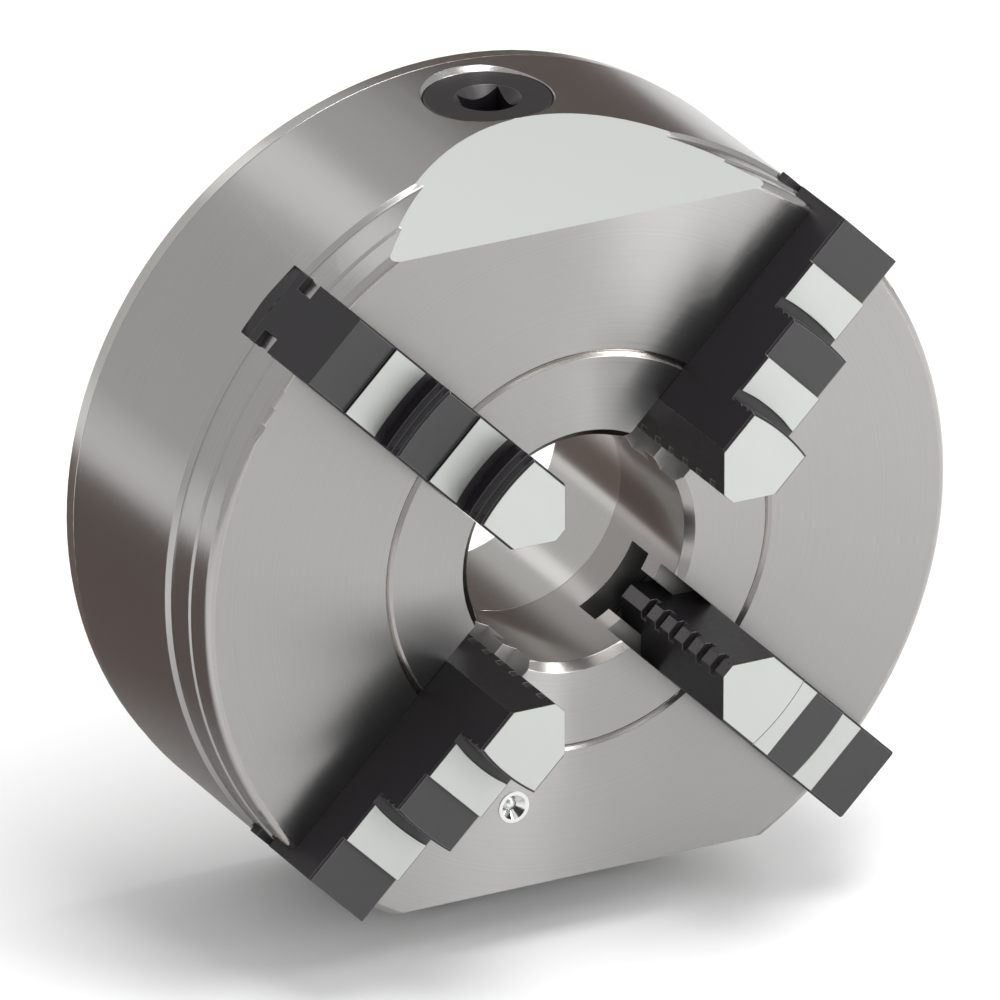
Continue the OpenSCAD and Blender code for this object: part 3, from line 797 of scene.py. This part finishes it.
# each softbox: its power's setting, its width and height, its place and the point that it faces, in metres
SOFTBOXES = {
    "top_softbox": ("top_light", (1.6, 1.6), (0.2, -0.6, 2.9), FRONT),
    "strip_softbox": ("strip_light", (0.22, 1.1), (1.45, -2.0, 0.62), FRONT),
    "fill_softbox": ("fill_light", (0.3, 0.3), (0.48, -0.45, 0.45), Vector((0.3, -0.28, -0.1))),
    "back_softbox": ("back_light", (0.5, 1.2), (-0.42, 2.2, 1.55), FRONT),
}
# the room's dark side: its direction, and where it begins and is full, as cosines of the angle to it
DARK_WAY = Vector((0.52, 0.81, 0.2)).normalized()
DARK_FROM, DARK_FULL = 0.86, 0.97
# half the floor's width, in metres
FLOOR_HALF = 12
# each dark sheet is full up to this share of its reach, and thins out from there
DARK_SHEET_FULL = 0.45


def softbox(name, setting, size, place, target):
    """A large soft light that faces a point."""
    data = bpy.data.lights.new(name, "AREA")
    data.energy = getattr(studio(), setting)
    data.shape = "RECTANGLE"
    data.size, data.size_y = size
    lamp = bpy.data.objects.new(name, data)
    lamp.location = place
    lamp.visible_camera = False
    lamp.rotation_euler = (target - Vector(place)).to_track_quat("-Z", "Y").to_euler()
    bpy.context.scene.collection.objects.link(lamp)


def light_room():
    """The room's own light: bright all round, with one dark side that gives the metal its dark bands."""
    world = bpy.data.worlds.new("Studio room")
    bpy.context.scene.world = world
    world.use_nodes = True
    tree = world.node_tree
    back = tree.nodes["Background"]
    way = add(tree, "ShaderNodeTexCoord").outputs["Generated"]
    light, dark = (*colours().light_room, 1), (*colours().dark_room, 1)
    towards = add(tree, "ShaderNodeVectorMath", {"operation": "DOT_PRODUCT"}, {0: way, 1: DARK_WAY})
    shading = {"Value": towards.outputs["Value"], "From Min": DARK_FROM, "From Max": DARK_FULL}
    amount = add(tree, "ShaderNodeMapRange", {"interpolation_type": "SMOOTHSTEP"}, shading).outputs[0]
    room = add(tree, "ShaderNodeMix", {"data_type": "RGBA"}, {0: amount, 6: light, 7: dark}).outputs[2]
    # the camera sees the light side all round
    direct = add(tree, "ShaderNodeLightPath").outputs["Is Camera Ray"]
    seen = add(tree, "ShaderNodeMix", {"data_type": "RGBA"}, {0: direct, 6: room, 7: light})
    tree.links.new(seen.outputs[2], back.inputs["Color"])
    back.inputs["Strength"].default_value = studio().room_light


def rectangle(name, material, corner, along, up):
    """A flat rectangle from one corner, with two of its sides as vectors."""
    corner, along, up = Vector(corner), Vector(along), Vector(up)
    mesh = bpy.data.meshes.new(name)
    mesh.from_pydata((corner, corner + along, corner + along + up, corner + up), [], [(0, 1, 2, 3)])
    mesh.materials.append(material)
    return show(name, mesh)


def lay_floor():
    """A wide sheet of paper under the chuck."""
    paper = studio_paper("studio_paper", colours().floor)
    corner = (-FLOOR_HALF, -FLOOR_HALF, FLOOR_Z)
    floor = rectangle("studio_floor", paper, corner, (2 * FLOOR_HALF, 0, 0), (0, 2 * FLOOR_HALF, 0))


def place_reflected_sheet(name, cloth, corner, along, up):
    """A dark sheet that only reflections show: the standing cloth far behind, and the lying sheet of painted
    floor shade.
    """
    flag = rectangle(name, cloth, corner, along, up)
    flag.visible_camera = False
    flag.visible_diffuse = False
    flag.visible_shadow = False


def dark_sheet_material(name, centre, reach):
    """Dark matt cloth that thins out from its centre to its reach along X, Y and Z, for the standing cloth
    and for the painted floor shade.
    """
    material, tree, shader, point = new_material(name, colours().flag, 0, 0.95)
    shader.inputs["Specular IOR Level"].default_value = 0
    offset = add(tree, "ShaderNodeVectorMath", {"operation": "SUBTRACT"}, {0: point, 1: centre})
    share = add(tree, "ShaderNodeVectorMath", {"operation": "DIVIDE"}, {0: offset.outputs[0], 1: reach})
    away = add(tree, "ShaderNodeVectorMath", {"operation": "LENGTH"}, {0: share.outputs[0]})
    thinning = {"Value": away.outputs["Value"], "From Min": 1.0, "From Max": DARK_SHEET_FULL}
    cover = add(tree, "ShaderNodeMapRange", {"interpolation_type": "SMOOTHSTEP"}, thinning)
    tree.links.new(cover.outputs[0], shader.inputs["Alpha"])
    return material


def place_cloth_and_painted_shade():
    """A soft dark sheet of painted shade lies on the floor behind the chuck, hidden from the camera, so the
    steel reflects a shaded floor there; a dark cloth stands far behind it to the right.
    """
    level = FLOOR_Z + 1 * MM
    # painted shade: a dark patch on the floor that the camera never sees, standing in for the floor's shade
    # in the steel's reflections
    painted_shade_cloth = dark_sheet_material("black_flag_cloth_low", (-0.2, 0.2, level), (0.3, 0.36, 1))
    place_reflected_sheet("studio_flag_low", painted_shade_cloth, (-0.5, -0.16, level), (0.6, 0, 0), (0, 0.72, 0))
    standing = dark_sheet_material("black_flag_cloth_high", (1.35, 2, 0.3), (0.95, 1, 0.95))
    place_reflected_sheet("studio_flag_high", standing, (0.4, 2, level), (1.9, 0, 0), (0, 0, 1.25 - level))


def place_camera():
    """Puts the camera far off with a long lens, to one side and above, and aims it past the front face."""
    s = studio()
    back = Vector(
        (
            math.sin(s.azimuth) * math.cos(s.elevation),
            -math.cos(s.azimuth) * math.cos(s.elevation),
            math.sin(s.elevation),
        )
    )
    right = Vector((math.cos(s.azimuth), math.sin(s.azimuth), 0))
    up = back.cross(right)
    aim = FRONT - right * s.aim_left + up * s.aim_up
    data = bpy.data.cameras.new("Camera")
    data.lens = s.lens
    data.clip_start = 0.1
    data.clip_end = 100
    camera = bpy.data.objects.new("Camera", data)
    camera.location = aim + back * s.distance
    camera.rotation_euler = (-back).to_track_quat("-Z", "Y").to_euler()
    bpy.context.scene.collection.objects.link(camera)
    bpy.context.scene.camera = camera


class CHUCK_OT_stage(bpy.types.Operator):
    """Set up the floor, the lights and the camera"""

    bl_idname = "chuck.stage"
    bl_label = "Stage"

    def execute(self, context):
        bpy.context.scene.view_settings.view_transform = "Standard"
        light_room()
        lay_floor()
        place_cloth_and_painted_shade()
        for name, values in SOFTBOXES.items():
            softbox(name, *values)
        place_camera()
        return {"FINISHED"}


OPERATORS = (
    CHUCK_OT_body,
    CHUCK_OT_cover,
    CHUCK_OT_screws,
    CHUCK_OT_jaws,
    CHUCK_OT_pinions,
    CHUCK_OT_nipple,
    CHUCK_OT_inside,
    CHUCK_OT_stage,
)


class CHUCK_PT_pieces(bpy.types.Panel):
    """The chuck's pieces and its studio"""

    bl_idname = "CHUCK_PT_pieces"
    bl_label = "Lathe Chuck"
    bl_space_type = "VIEW_3D"
    bl_region_type = "UI"
    bl_category = "Chuck"

    def draw(self, context):
        for operator in OPERATORS:
            self.layout.operator(operator.bl_idname)
        for group in (sizes(), colours(), studio()):
            box = self.layout.box()
            for name in group.__annotations__:
                box.prop(group, name)


CLASSES = (ChuckSizes, ChuckColours, ChuckStudio, *OPERATORS, CHUCK_PT_pieces)


def register():
    for cls in CLASSES:
        bpy.utils.register_class(cls)
    bpy.types.Scene.chuck_sizes = bpy.props.PointerProperty(type=ChuckSizes)
    bpy.types.Scene.chuck_colours = bpy.props.PointerProperty(type=ChuckColours)
    bpy.types.Scene.chuck_studio = bpy.props.PointerProperty(type=ChuckStudio)


def unregister():
    del bpy.types.Scene.chuck_studio
    del bpy.types.Scene.chuck_colours
    del bpy.types.Scene.chuck_sizes
    for cls in reversed(CLASSES):
        bpy.utils.unregister_class(cls)


def main():
    register()
    for operator in OPERATORS:
        group, name = operator.bl_idname.split(".")
        getattr(getattr(bpy.ops, group), name)()


if __name__ == "__main__":
    main()
